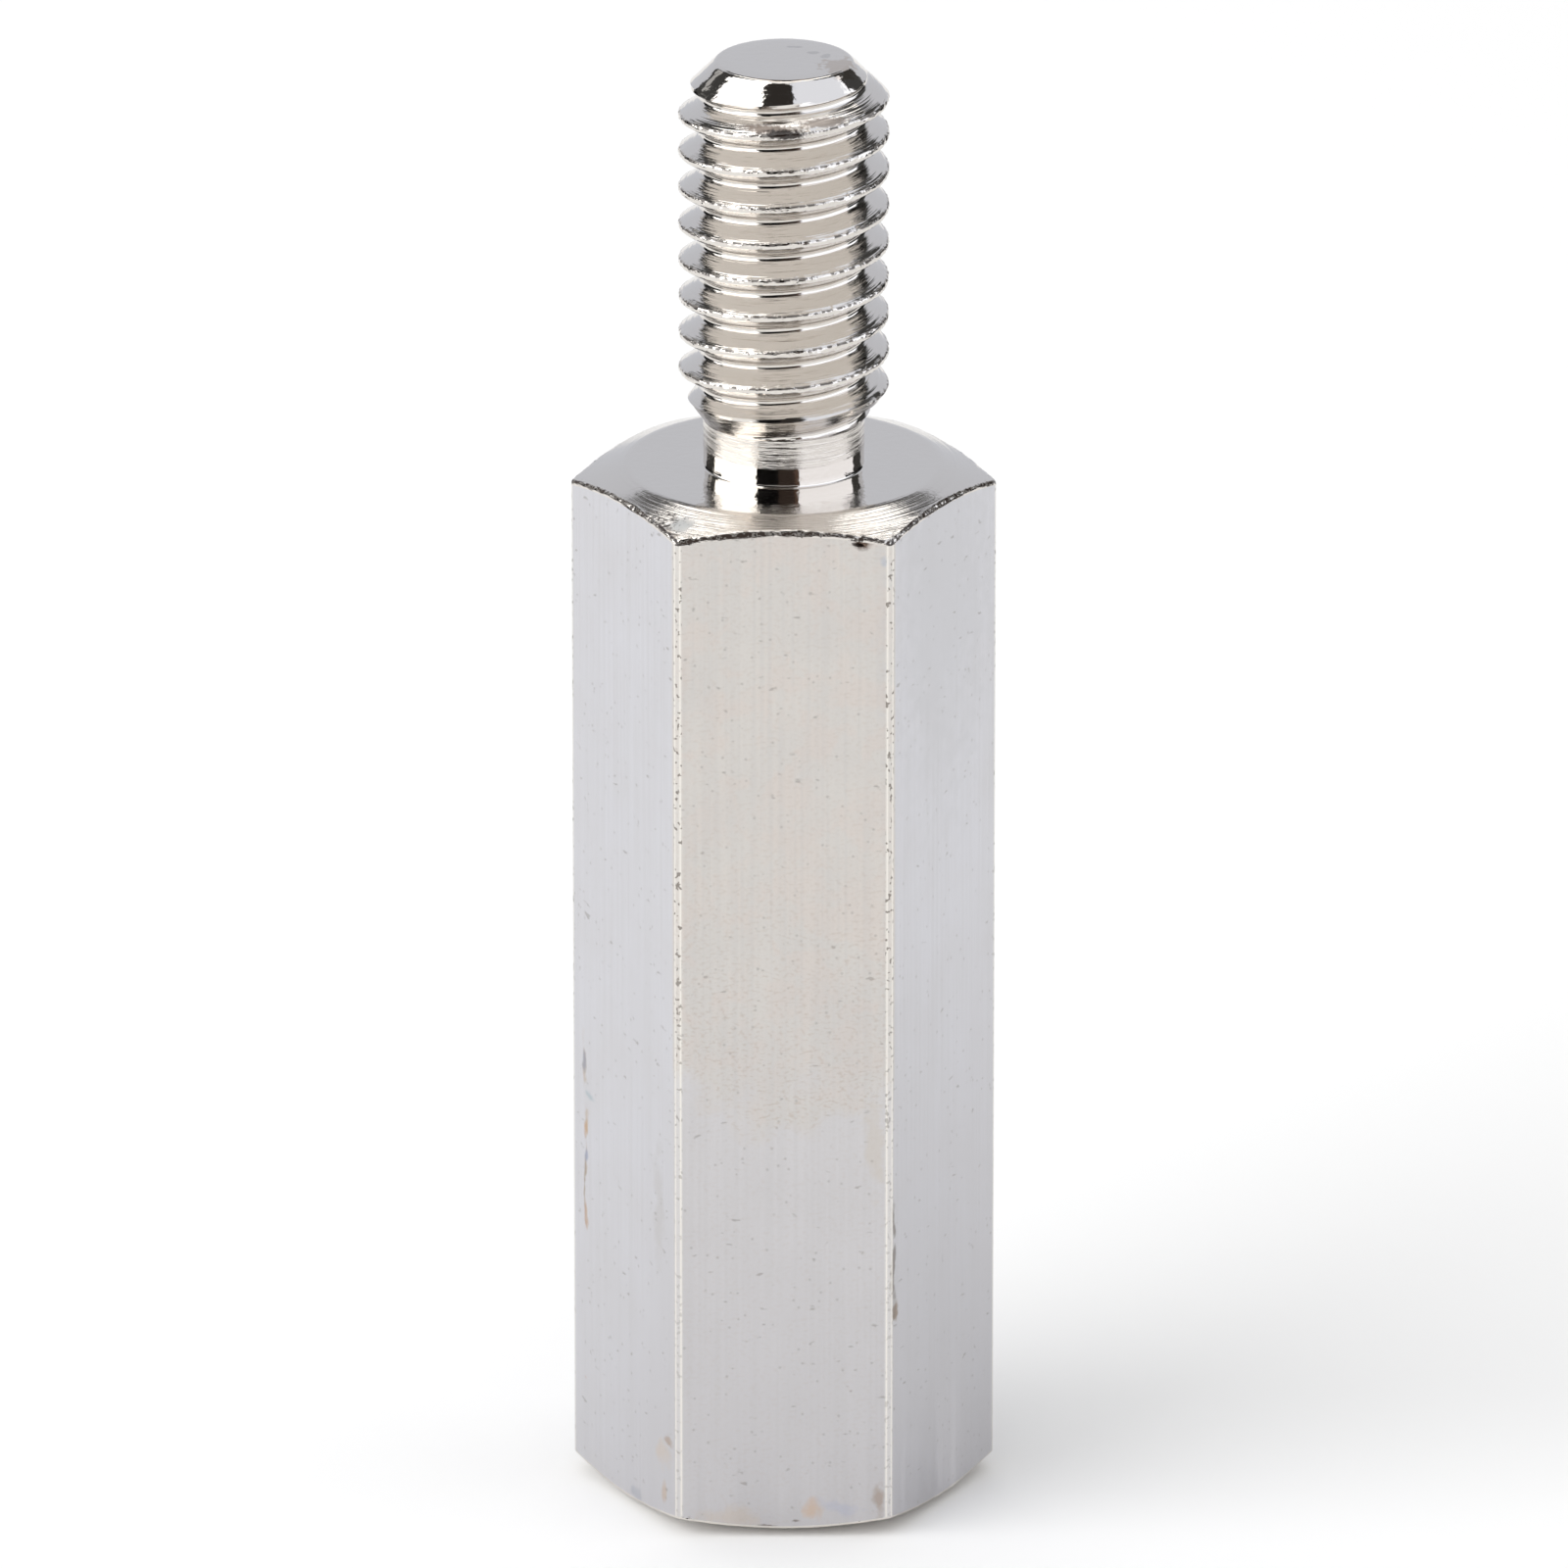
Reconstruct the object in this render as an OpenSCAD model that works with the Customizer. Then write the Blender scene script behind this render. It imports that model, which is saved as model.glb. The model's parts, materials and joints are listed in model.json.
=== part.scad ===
// Male-female hex standoff, turned from one length of drawn hex bar.
// A threaded stud stands on the upper shoulder and a blind tapped hole opens in the base,
// so the same nominal thread sizes both ends.

/* [Hex body] */
// Nominal wrench size across the flats
wrench_size = 7; // [5.5:0.5:10]
// How far the drawn bar measures under its nominal wrench size
bar_undersize = 0.18; // [0:0.01:0.25]
// Length of the hex body from face to face
body_length = 20; // [15:1:60]
// Radius of the rounded strip along each of the six long edges
edge_radius = 0.22; // [0.1:0.01:0.6]

/* [End faces] */
// How far inside the flats the chamfer of each end face starts
chamfer_inset = 0.5; // [0.1:0.05:0.6]
// Slope of the chamfer outside each end face, in degrees
chamfer_angle = 20; // [10:1:40]

/* [Thread] */
// Nominal thread diameter of the stud and of the tapped hole
thread_size = 4; // [3:0.5:5]
// Thread pitch, which spaces the stud's rings and which the tap drill leaves room for
thread_pitch = 0.7; // [0.35:0.05:1]

/* [Stud] */
// Length of the stud above the shoulder
stud_length = 7.8; // [4:0.1:20]
// How far the cut crests measure under the nominal thread diameter
crest_undersize = 0.12; // [0:0.01:0.2]
// How far in from the crests the lead chamfer reaches at the stud's end
lead_depth = 0.7; // [0.3:0.05:1]
// Slope of the lead chamfer from the axis, in degrees
lead_angle = 45; // [30:1:60]

/* [Relief neck] */
// How deep the neck is turned below the crests
neck_depth = 0.455; // [0.2:0.005:0.8]
// Length of the straight part of the neck above the shoulder
neck_length = 0.9; // [0.3:0.05:2]
// Slope of the run-out from the neck to the crests, from the axis in degrees
runout_angle = 36; // [25:1:60]

/* [Tapped hole] */
// Depth of the full-diameter hole from the base
hole_depth = 12; // [5:0.5:17]
// Angle across the drill's point, in degrees
point_angle = 118; // [90:1:140]
// How much wider than the thread the countersink is at its mouth
countersink_margin = 0.3; // [0.1:0.05:0.8]
// Angle across the countersink, in degrees
countersink_angle = 90; // [60:1:120]

/* [Hidden] */
$fn = 96;

// Bar section: an arc crosses each corner and meets both flats at a slight crease.
sides = 6;
half_side = 180 / sides;
half_flats = (wrench_size - bar_undersize) / 2;
sharp_r = half_flats / cos(half_side);
edge_crease = 7;
half_strip = edge_radius * sin(half_side - edge_crease);
strip_r = sharp_r - half_strip * tan(half_side);
strip_centre_r = strip_r - edge_radius * cos(half_side - edge_crease);
corner_r = strip_centre_r + edge_radius;

// Turned profile, as radii from the axis and heights above the base.
total_length = body_length + stud_length;
bar_clearance = 1;
swing_r = corner_r + bar_clearance;
face_r = half_flats - chamfer_inset;
chamfer_drop = (swing_r - face_r) * tan(chamfer_angle);
crest_r = (thread_size - crest_undersize) / 2;
neck_r = crest_r - neck_depth;
neck_top = body_length + neck_length;
runout_top = neck_top + neck_depth / tan(runout_angle);
end_r = crest_r - lead_depth;
lead_bottom = total_length - lead_depth / tan(lead_angle);

// Thread rings: grooves with the section and spacing of a metric thread, without its climb.
flank_angle = 30;
groove_depth = thread_pitch * 17 / 24 * sqrt(3) / 2;
root_flat = thread_pitch / 8;
root_r = crest_r - groove_depth;
groove_half = root_flat / 2 + groove_depth * tan(flank_angle);
least_land = 0.02;
groove_room = lead_bottom - runout_top - groove_half - least_land;
groove_count = floor(groove_room / thread_pitch + 0.5);

// Drilled and countersunk hole.
drill_r = (thread_size - thread_pitch) / 2;
point_depth = drill_r / tan(point_angle / 2);
mouth_r = (thread_size + countersink_margin) / 2;
countersink_depth = (mouth_r - drill_r) / tan(countersink_angle / 2);

// Section of the drawn bar: a hexagon whose corners are cut back to rounded strips.
module bar_section() {
    intersection() {
        circle(r = sharp_r, $fn = sides);
        union() {
            circle(r = strip_r);
            for (side = [0 : sides - 1])
                rotate(side * 2 * half_side)
                    translate([strip_centre_r, 0])
                        circle(r = edge_radius);
        }
    }
}

// Bar stock, longer than the finished part at both ends.
module hex_bar() {
    translate([0, 0, -bar_clearance])
        linear_extrude(height = total_length + 2 * bar_clearance)
            bar_section();
}

// Profile of the thread grooves, from the run-out up to the lead chamfer.
function groove_points(middle) = [
    [crest_r, middle - groove_half],
    [root_r, middle - root_flat / 2],
    [root_r, middle + root_flat / 2],
    [crest_r, middle + groove_half]
];
thread_profile = [
    for (ring = [groove_count - 1 : -1 : 0])
        each groove_points(lead_bottom - (ring + 0.5) * thread_pitch)
];

// Everything the turning tool leaves: both chamfered faces, the shoulder, the neck and the stud.
module turned_envelope() {
    rotate_extrude()
        polygon(concat(
            [
                [0, 0],
                [face_r, 0],
                [swing_r, chamfer_drop],
                [swing_r, body_length - chamfer_drop],
                [face_r, body_length],
                [neck_r, body_length],
                [neck_r, neck_top],
                [crest_r, runout_top]
            ],
            thread_profile,
            [
                [crest_r, lead_bottom],
                [end_r, total_length],
                [0, total_length]
            ]
        ));
}

// Blind hole with its drill point, opened past the base so that the mouth is clean.
module drilled_hole() {
    rotate_extrude()
        polygon([
            [0, -bar_clearance],
            [mouth_r, -bar_clearance],
            [mouth_r, 0],
            [drill_r, countersink_depth],
            [drill_r, hole_depth],
            [0, hole_depth + point_depth]
        ]);
}

// The finished standoff, bright nickel over brass.
module hex_standoff() {
    color("#c9c7c4")
        difference() {
            intersection() {
                hex_bar();
                turned_envelope();
            }
            drilled_hole();
        }
}

hex_standoff();
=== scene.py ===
# %% [markdown]
# # A nickel-plated hex standoff
# A standoff keeps a circuit board off a chassis. This one is a single length of drawn brass hex bar:
# a lathe turns one end down to a threaded stud with a relief neck, chamfers both faces of the hex, and
# drills and taps the base. Bright nickel plating covers everything.
#
# The CAD frame already holds the plain solid. The lesson puts a detailed skin on that solid: cut threads,
# worn edges, tool marks and plating. First it loads the frame and keeps the size of the solid.

# %% Load the frame
import json
import math

import bmesh
import bpy
import numpy as np
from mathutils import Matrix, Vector


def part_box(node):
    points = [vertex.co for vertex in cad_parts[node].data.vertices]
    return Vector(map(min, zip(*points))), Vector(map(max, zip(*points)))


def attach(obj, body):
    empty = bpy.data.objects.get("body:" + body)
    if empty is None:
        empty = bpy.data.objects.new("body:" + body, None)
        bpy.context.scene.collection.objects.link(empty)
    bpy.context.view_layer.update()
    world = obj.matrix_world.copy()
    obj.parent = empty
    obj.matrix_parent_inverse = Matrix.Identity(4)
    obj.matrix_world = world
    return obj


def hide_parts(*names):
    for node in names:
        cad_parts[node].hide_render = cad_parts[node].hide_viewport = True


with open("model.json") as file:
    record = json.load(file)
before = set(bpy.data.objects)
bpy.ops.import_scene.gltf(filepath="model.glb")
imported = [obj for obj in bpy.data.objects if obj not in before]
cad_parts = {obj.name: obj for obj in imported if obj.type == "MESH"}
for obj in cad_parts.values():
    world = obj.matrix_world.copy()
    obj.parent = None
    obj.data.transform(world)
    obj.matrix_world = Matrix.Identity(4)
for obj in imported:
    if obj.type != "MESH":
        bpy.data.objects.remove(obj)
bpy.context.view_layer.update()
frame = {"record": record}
MM = 0.001

# %% [markdown]
# ## Sizes
# A lathe operator works from a drawing in millimetres, so the script does too and turns to metres only when
# it makes points. The outside sizes come from the frame: the box of the solid and its mounts. The rest are
# the few values of a drawing, such as the pitch, the neck and the chamfers.

# %% Sizes, in millimetres
part_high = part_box("hex_standoff")[1]
mounts = {mount["name"]: mount for mount in frame["record"]["mounts"]}
total_length = part_high.z / MM
half_flats = part_high.y / MM
shoulder_z = mounts["shoulder"]["pos_m"][2] / MM
crest_r = mounts["stud"]["dims"]["r_mm"]
drill_r = mounts["tapped_hole"]["dims"]["r_mm"]

pitch = 0.7
neck_depth = 0.455
neck_length = 0.9
lead_depth = 0.7
chamfer_inset = 0.5
countersink = 0.5
hole_depth = 12.0
neck_r = crest_r - neck_depth
neck_top = shoulder_z + neck_length
end_r = crest_r - lead_depth
face_r = half_flats - chamfer_inset
mouth_r = drill_r + countersink
print("stud, mm:", round(total_length - shoulder_z, 2), "across flats, mm:", round(2 * half_flats, 2))

# %% [markdown]
# ## The camera
# The photograph was taken with a long lens from a little above, so the upright edges hardly converge. The
# height of the camera, its distance and the lens were fitted to the outline of the hex and to the crests of
# the thread. One flat faces the camera square on.

# %% Camera
camera_rise = math.radians(20.311)
camera_distance = 409.5
aim = Vector((0.0047, 0, 13.6648)) * MM
towards_camera = Vector((0, -math.cos(camera_rise), math.sin(camera_rise)))

camera = bpy.data.objects.new("camera", bpy.data.cameras.new("camera"))
bpy.context.scene.collection.objects.link(camera)
camera.data.sensor_width = 36
camera.data.lens = 507.85
camera.data.clip_start = 0.01
camera.location = aim + towards_camera * camera_distance * MM
camera.rotation_euler = (-towards_camera).to_track_quat("-Z", "Y").to_euler()
bpy.context.scene.camera = camera
print("camera at, mm:", [round(value / MM, 1) for value in camera.location])

# %% [markdown]
# ## One helper for nodes
# Materials and Geometry Nodes are both built from nodes, so one small function serves them all: it adds a
# node, applies its settings, and links or fills its inputs in order or by name. A second function turns the
# hex colours of a paint chart into the linear values that shaders use.

# %% Node helper and colours
def add(tree, kind, inputs=(), output=0, **settings):
    """Adds one node to a tree and returns one of its outputs."""
    node = tree.nodes.new(kind)
    for name, value in settings.items():
        setattr(node, name, value)
    for key, value in inputs.items() if isinstance(inputs, dict) else enumerate(inputs):
        if isinstance(value, bpy.types.NodeSocket):
            tree.links.new(value, node.inputs[key])
        else:
            node.inputs[key].default_value = value
    return node.outputs[output] if len(node.outputs) else node


def linear(hex_colour):
    """Turns an sRGB hex colour into linear red, green, blue and alpha."""
    parts = [int(hex_colour[i:i + 2], 16) / 255 for i in (1, 3, 5)]
    return [p / 12.92 if p <= 0.04045 else ((p + 0.055) / 1.055) ** 2.4 for p in parts] + [1]


MATH = "ShaderNodeMath"
VECTOR = "ShaderNodeVectorMath"
NOISE = "ShaderNodeTexNoise"
RANGE = "ShaderNodeMapRange"
MIX = "ShaderNodeMix"
NICKEL = linear("#dcd7d1")
print("bright nickel in linear values:", [round(v, 3) for v in NICKEL])

# %% [markdown]
# ## Nickel on turned faces
# Bright nickel is a warm white metal. Where a sharp tool turned the brass, the plating is close to a mirror,
# so the shoulder, the lower neck and the end of the stud show sharp reflections. A turned mark keeps its
# distance from the axis and its height, so noise over those two values alone draws rings on any turned
# face. Handling leaves a little haze, and a few dull marks lie on the end of the stud.

# %% Turned nickel
def new_metal(name):
    """Starts a metal material and returns it with its tree and its shader."""
    material = bpy.data.materials.new(name)
    material.use_nodes = True
    shader = material.node_tree.nodes["Principled BSDF"]
    shader.inputs["Metallic"].default_value = 1
    shader.inputs["Base Color"].default_value = NICKEL
    return material, material.node_tree, shader


def lathe_rings(tree, spot, spacing):
    """Ring-shaped noise about this far apart, in millimetres, and the distance from the axis."""
    axes = add(tree, "ShaderNodeSeparateXYZ", (spot,)).node
    from_axis = add(tree, VECTOR, (spot, (1, 1, 0)), operation="MULTIPLY")
    from_axis = add(tree, VECTOR, (from_axis,), output="Value", operation="LENGTH")
    drift = add(tree, MATH, (axes.outputs["X"], 0.03), operation="MULTIPLY")
    lathe_spot = add(tree, "ShaderNodeCombineXYZ", (from_axis, axes.outputs["Z"], drift))
    rings = add(tree, NOISE, {"Vector": lathe_spot, "Scale": 1 / (spacing * MM),
                              "Detail": 3, "Roughness": 0.6})
    return rings, from_axis


def patch(tree, spot, centre, half_size, broken):
    """How far each spot lies from a patch's centre, as a share of its half size, with broken edges."""
    away = add(tree, VECTOR, (spot, [v * MM for v in centre]), operation="SUBTRACT")
    away = add(tree, VECTOR, (away, [v * MM for v in half_size]), operation="DIVIDE")
    away = add(tree, VECTOR, (away,), output="Value", operation="LENGTH")
    return add(tree, MATH, (broken, 2, away), operation="MULTIPLY_ADD")


turned, tree, shader = new_metal("turned_bright_nickel")
spot = add(tree, "ShaderNodeTexCoord", output="Object")
rings, _ = lathe_rings(tree, spot, 0.05)
torn = add(tree, NOISE, {"Vector": spot, "Scale": 1 / (0.15 * MM), "Detail": 1.5})
relief = add(tree, MATH, (torn, 5, rings), operation="MULTIPLY_ADD")
bump = add(tree, "ShaderNodeBump", {"Height": relief, "Strength": 1, "Distance": 0.001 * MM})
tree.links.new(bump, shader.inputs["Normal"])
haze = add(tree, NOISE, {"Vector": spot, "Scale": 1 / (0.8 * MM), "Detail": 4})
tree.links.new(add(tree, RANGE, (haze, 0.35, 0.7, 0.04, 0.09)), shader.inputs["Roughness"])
broken = add(tree, MATH, (torn, 0.5), operation="SUBTRACT")
colour = NICKEL
end_marks = [
    ((1.0, -0.42, total_length), (0.36, 0.5, 0.2), "#c2b6aa"),
    ((0.22, 0.72, total_length), (0.24, 0.05, 0.2), "#c3bfbb"),
    ((0.55, 0.4, total_length), (0.12, 0.1, 0.2), "#c3bfbb"),
    ((0.78, 0.18, total_length), (0.1, 0.12, 0.2), "#c3bfbb"),
]
for centre, half_size, tint in end_marks:
    mark = patch(tree, spot, centre, half_size, broken)
    mark = add(tree, RANGE, (mark, 0.7, 1.05, 0.8, 0))
    colour = add(tree, MIX, {0: mark, 6: colour, 7: linear(tint)}, output=2, data_type="RGBA")
tree.links.new(colour, shader.inputs["Base Color"])
print(turned.name, "nodes:", len(tree.nodes))

# %% [markdown]
# The chamfers and the upper neck were cut with a quicker feed, so the rings there are deeper: deepest on the
# neck, and deep again at the corners, where the tool struck the bar. They are about 0.06 mm apart, coarse
# enough to show. One dull spot on the chamfer is a knock that left the plating matt. Brown-black colour sits
# in the torn lip where the chamfer meets the flats: dirt together with a painted dark reflection line. The
# mesh will carry an attribute that says how torn it is: where it is high the dark colour is solid, and where
# it is low only specks are left.

# %% Grooved nickel
grooved, tree, shader = new_metal("grooved_bright_nickel")
spot = add(tree, "ShaderNodeTexCoord", output="Object")
rings, from_axis = lathe_rings(tree, spot, 0.06)
torn = add(tree, NOISE, {"Vector": spot, "Scale": 1 / (0.1 * MM), "Detail": 2})
relief = add(tree, MATH, (torn, 0.25, rings), operation="MULTIPLY_ADD")
deep = add(tree, RANGE, (from_axis, neck_r * MM, face_r * MM, 0.022 * MM, 0.007 * MM))
corner_from, corner_to = 3.3, 3.8
at_corner = add(tree, RANGE, (from_axis, corner_from * MM, corner_to * MM, 0, 0.008 * MM))
deep = add(tree, MATH, (deep, at_corner), operation="ADD")
bump = add(tree, "ShaderNodeBump", {"Height": relief, "Strength": 1, "Distance": deep})
tree.links.new(bump, shader.inputs["Normal"])
broken = add(tree, MATH, (torn, 0.3, -0.15), operation="MULTIPLY_ADD")
knock = patch(tree, spot, (-1.84, -2.88, 19.73), (0.32, 0.3, 0.25), broken)
knock = add(tree, RANGE, (knock, 0.45, 1.05, 1, 0))
dull = add(tree, RANGE, (rings, 0.3, 0.7, 0.07, 0.16))
dull = add(tree, MATH, (knock, 0.35, dull), operation="MULTIPLY_ADD")
tree.links.new(dull, shader.inputs["Roughness"])
colour = add(tree, MIX, {0: knock, 6: NICKEL, 7: linear("#d0d1d0")}, output=2, data_type="RGBA")
# Brown-black colour in the torn lip: dirt together with a painted dark reflection line.
dirt_and_dark_line = add(tree, NOISE, {"Vector": spot, "Scale": 1 / (0.09 * MM), "Detail": 3, "Roughness": 0.6})
lip = add(tree, "ShaderNodeAttribute", output="Fac", attribute_name="lip_wear")
dirt_and_dark_line = add(tree, MATH, (lip, 0.3, dirt_and_dark_line), operation="MULTIPLY_ADD")
dirt_and_dark_line = add(tree, RANGE, (dirt_and_dark_line, 0.66, 0.78, 0, 0.97))
torn_here = add(tree, MATH, (lip, 0.05), operation="GREATER_THAN")
dirt_and_dark_line = add(tree, MATH, (dirt_and_dark_line, torn_here), operation="MULTIPLY")
colour = add(tree, MIX, {0: dirt_and_dark_line, 6: colour, 7: linear("#22160f")}, output=2, data_type="RGBA")
tree.links.new(colour, shader.inputs["Base Color"])
tree.links.new(add(tree, MATH, (1, dirt_and_dark_line), operation="SUBTRACT"), shader.inputs["Metallic"])
print(grooved.name, "nodes:", len(tree.nodes))

# %% [markdown]
# The die leaves marks that run along the thread. Taking the climb of the helix off the height gives a value
# that stays the same along one thread line, and noise over it draws those marks. The same value shows where
# the upper edge of each crest runs, and dirt sits there in dark crumbs where the die tore the brass. The
# first turn under the end of the stud has three brown marks of its own. The thread is placed by the height of
# one crest on the right of the stud, read from the photograph.

# %% Thread nickel
crest_on_right = total_length - 1.393
cut, tree, shader = new_metal("thread_cut_nickel")
spot = add(tree, "ShaderNodeTexCoord", output="Object")
axes = add(tree, "ShaderNodeSeparateXYZ", (spot,)).node
from_axis = add(tree, VECTOR, (spot, (1, 1, 0)), operation="MULTIPLY")
from_axis = add(tree, VECTOR, (from_axis,), output="Value", operation="LENGTH")
turn_angle = add(tree, MATH, (axes.outputs["Y"], axes.outputs["X"]), operation="ARCTAN2")
on_thread = add(tree, MATH, (turn_angle, -pitch * MM / math.tau, axes.outputs["Z"]), operation="MULTIPLY_ADD")
drift = add(tree, MATH, (axes.outputs["X"], 0.05), operation="MULTIPLY")
die_spot = add(tree, "ShaderNodeCombineXYZ", (from_axis, on_thread, drift))
die_marks = add(tree, NOISE, {"Vector": die_spot, "Scale": 1 / (0.07 * MM), "Detail": 2, "Roughness": 0.6})
near_crest = add(tree, RANGE, (from_axis, (crest_r - 0.07) * MM, (crest_r - 0.02) * MM, 0, 1))
torn = add(tree, NOISE, {"Vector": spot, "Scale": 1 / (0.07 * MM), "Detail": 2})
torn_crest = add(tree, MATH, (torn, near_crest), operation="MULTIPLY")
relief = add(tree, MATH, (torn_crest, 0.8, die_marks), operation="MULTIPLY_ADD")
bump = add(tree, "ShaderNodeBump", {"Height": relief, "Strength": 1, "Distance": 0.012 * MM})
tree.links.new(bump, shader.inputs["Normal"])
tree.links.new(add(tree, RANGE, (die_marks, 0.3, 0.7, 0.06, 0.14)), shader.inputs["Roughness"])

upper_edge = add(tree, MATH, (on_thread, (crest_on_right + 0.05) * MM), operation="SUBTRACT")
upper_edge = add(tree, MATH, (upper_edge, pitch / 2 * MM, -pitch / 2 * MM), operation="WRAP")
upper_edge = add(tree, MATH, (upper_edge,), operation="ABSOLUTE")
upper_edge = add(tree, RANGE, (upper_edge, 0.01 * MM, 0.03 * MM, 1, 0))
crumbs = add(tree, NOISE, {"Vector": spot, "Scale": 1 / (0.12 * MM), "Detail": 3})
crumbs = add(tree, RANGE, (crumbs, 0.48, 0.53, 0, 0.9))
crumbs = add(tree, MATH, (crumbs, upper_edge), operation="MULTIPLY")
crumbs = add(tree, MATH, (crumbs, near_crest), operation="MULTIPLY")
colour = add(tree, MIX, {0: crumbs, 6: NICKEL, 7: linear("#261b15")}, output=2, data_type="RGBA")
broken = add(tree, MATH, (torn, 0.6, -0.3), operation="MULTIPLY_ADD")
thread_marks = [
    ((-0.25, -1.76, total_length - 0.76), (0.7, 0.5, 0.07), "#5a4432", 0.8),
    ((0.75, -1.6, total_length - 0.68), (0.55, 0.5, 0.07), "#5a4432", 0.65),
    ((0.0, -1.94, total_length - 0.82), (0.5, 0.4, 0.1), "#1c120c", 0.97),
]
for centre, half_size, tint, strength in thread_marks:
    mark = patch(tree, spot, centre, half_size, broken)
    mark = add(tree, RANGE, (mark, 0.6, 1, strength, 0))
    colour = add(tree, MIX, {0: mark, 6: colour, 7: linear(tint)}, output=2, data_type="RGBA")
    crumbs = add(tree, MATH, (crumbs, mark), operation="MAXIMUM")
tree.links.new(colour, shader.inputs["Base Color"])
tree.links.new(add(tree, MATH, (1, crumbs), operation="SUBTRACT"), shader.inputs["Metallic"])
print(cut.name, "nodes:", len(tree.nodes))

# %% [markdown]
# ## Nickel on the drawn flats
# The flats come straight from the drawing die, so the plating there is satin: faint lines run along the bar
# and the reflection of the floor is soft. The upper part of the front flat gets a warm painted reflection,
# and the side flats get a cooler painted tint. The flats are painted darker towards the base, less so on the
# left. Age left pits and short scratches, and the six long edges are rubbed bright, with painted highlight
# lines along them. Noise stretched along the bar makes the lines.

# %% Drawn nickel: lines, grain, painted reflection and painted shade
drawn, tree, shader = new_metal("drawn_satin_nickel")
spot = add(tree, "ShaderNodeTexCoord", output="Object")
along_bar = add(tree, "ShaderNodeMapping",
                {"Vector": spot, "Scale": (1 / (0.07 * MM), 1 / (0.07 * MM), 1 / (6 * MM))})
draw_lines = add(tree, NOISE, {"Vector": along_bar, "Scale": 1, "Detail": 3})
grain = add(tree, NOISE, {"Vector": spot, "Scale": 1 / (0.1 * MM), "Detail": 3, "Roughness": 0.7})
cloud = add(tree, NOISE, {"Vector": spot, "Scale": 1 / (1.6 * MM), "Detail": 4})
wander = add(tree, NOISE, {"Vector": spot, "Scale": 1 / (0.9 * MM), "Detail": 5}, output="Color")
wander = add(tree, VECTOR, (wander, (0.5, 0.5, 0.5)), operation="SUBTRACT")
wavy_spot = add(tree, VECTOR, (wander, (3.5 * MM,) * 3, spot), operation="MULTIPLY_ADD")
wavy = add(tree, "ShaderNodeSeparateXYZ", (wavy_spot,)).node
plain = add(tree, "ShaderNodeSeparateXYZ", (spot,)).node

# Painted reflection: the warm upper part of the front flat and its blush stand in for the reflection of the
# surroundings, and the side flats get a cooler painted tint. The lower edge of the warm part wanders.
reflection_edge_z = 0.41 * shoulder_z
sag = add(tree, MATH, (wavy.outputs["X"],), operation="ABSOLUTE")
sag = add(tree, MATH, (sag, -0.45, wavy.outputs["Z"]), operation="MULTIPLY_ADD")
in_warm_reflection = add(tree, RANGE, (sag, (reflection_edge_z - 0.4) * MM, (reflection_edge_z + 0.4) * MM, 0, 1))
on_front = add(tree, RANGE, (plain.outputs["Y"], (0.1 - half_flats) * MM, (0.15 - half_flats) * MM, 1, 0))
painted_warm_reflection = add(tree, MATH, (in_warm_reflection, on_front), operation="MULTIPLY")
colour = add(tree, MIX, {0: on_front, 6: linear("#d1d1d6"), 7: linear("#d2d0d1")}, output=2, data_type="RGBA")
colour = add(tree, MIX, {0: painted_warm_reflection, 6: colour, 7: linear("#d2cec9")}, output=2, data_type="RGBA")
shade = add(tree, RANGE, (cloud, 0.3, 0.7, 0, 0.28))
colour = add(tree, MIX, {0: shade, 6: colour, 7: linear("#c5c2c1")}, output=2, data_type="RGBA")
reflection_blush = add(tree, NOISE, {"Vector": wavy_spot, "Scale": 1 / (1.1 * MM), "Detail": 4})
reflection_blush = add(tree, RANGE, (reflection_blush, 0.45, 0.6, 0, 0.35))
reflection_blush = add(tree, MATH, (reflection_blush, painted_warm_reflection), operation="MULTIPLY")
colour = add(tree, MIX, {0: reflection_blush, 6: colour, 7: linear("#d5c8c0")}, output=2, data_type="RGBA")
# Painted shade: the flats grow darker towards the base, less so on the left side.
painted_base_shade = add(tree, RANGE, (plain.outputs["Z"], 0, 0.6 * shoulder_z * MM, 0.7, 0))
less_base_shade_left = add(tree, RANGE, (plain.outputs["X"], -half_flats * MM, -half_flats / 2 * MM, 0.4, 1))
painted_base_shade = add(tree, MATH, (painted_base_shade, less_base_shade_left), operation="MULTIPLY")
colour = add(tree, MIX, {0: painted_base_shade, 6: colour, 7: linear("#bfbdc0")}, output=2, data_type="RGBA")
lines = add(tree, RANGE, (draw_lines, 0.4, 0.65, 0, 0.2))
colour = add(tree, MIX, {0: lines, 6: colour, 7: linear("#bbb9b9")}, output=2, data_type="RGBA")
print(drawn.name, "nodes so far:", len(tree.nodes))
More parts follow.
